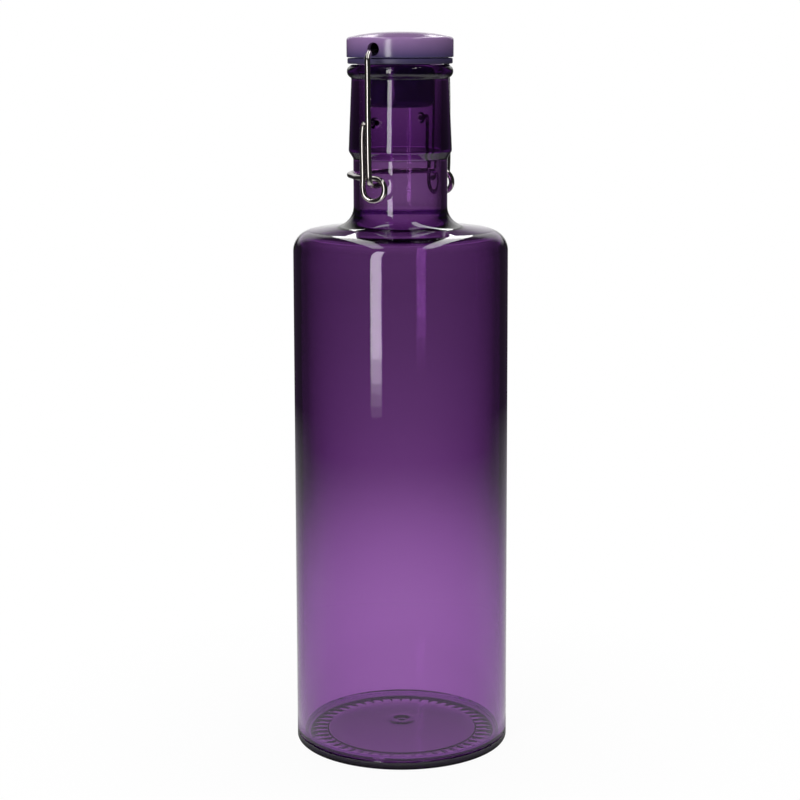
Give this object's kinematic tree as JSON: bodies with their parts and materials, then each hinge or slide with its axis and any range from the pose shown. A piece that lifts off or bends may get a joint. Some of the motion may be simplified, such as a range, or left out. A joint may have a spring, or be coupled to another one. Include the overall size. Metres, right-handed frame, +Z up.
{
  "type": "swing-top bottle",
  "caption": "Tall round tinted acrylic bottle with a stepped neck and a swing-top stopper, held shut by a bent-wire bail and an over-centre lever with coil eyes.",
  "frame": {"origin": "centre of the base, on the plane that the bottle stands on", "axes": "+Z up along the bottle's axis, Y along the lever's pivot axis, the lever's handle on the -X side"},
  "size_m": [0.0912, 0.0912, 0.3026],
  "materials": {
    "acrylic": "clear tinted gloss",
    "cap_plastic": "gloss",
    "gasket_rubber": "satin",
    "wire_steel": "bright drawn wire"
  },
  "bodies": {
    "bottle": {"bottle_shell": "acrylic", "base_disc": "acrylic"},
    "lever": {"locking_lever": "wire_steel"},
    "bail": {"cap_bail": "wire_steel"},
    "stopper": {"cap": "cap_plastic", "stopper_plug": "cap_plastic", "cap_gasket": "gasket_rubber"}
  },
  "joints": [
    {"name": "lever_hinge", "type": "hinge", "parent": "bottle", "child": "lever", "pos_m": [0, 0, 0.2662], "axis": [0, 1, 0], "range_deg": [0, 85]},
    {"name": "bail_hinge", "type": "hinge", "parent": "lever", "child": "bail", "pos_m": [0.00445, 0, 0.2415], "axis": [0, 1, 0], "range_deg": [-52, 0]},
    {"name": "cap_hinge", "type": "hinge", "parent": "bail", "child": "stopper", "pos_m": [0, 0, 0.2945], "axis": [0, 1, 0], "range_deg": [-35, 0]}
  ],
  "couplings": [
    {"joint": "bail_hinge", "follows": "lever_hinge", "ratio": -0.6},
    {"joint": "cap_hinge", "follows": "lever_hinge", "ratio": -0.4}
  ]
}
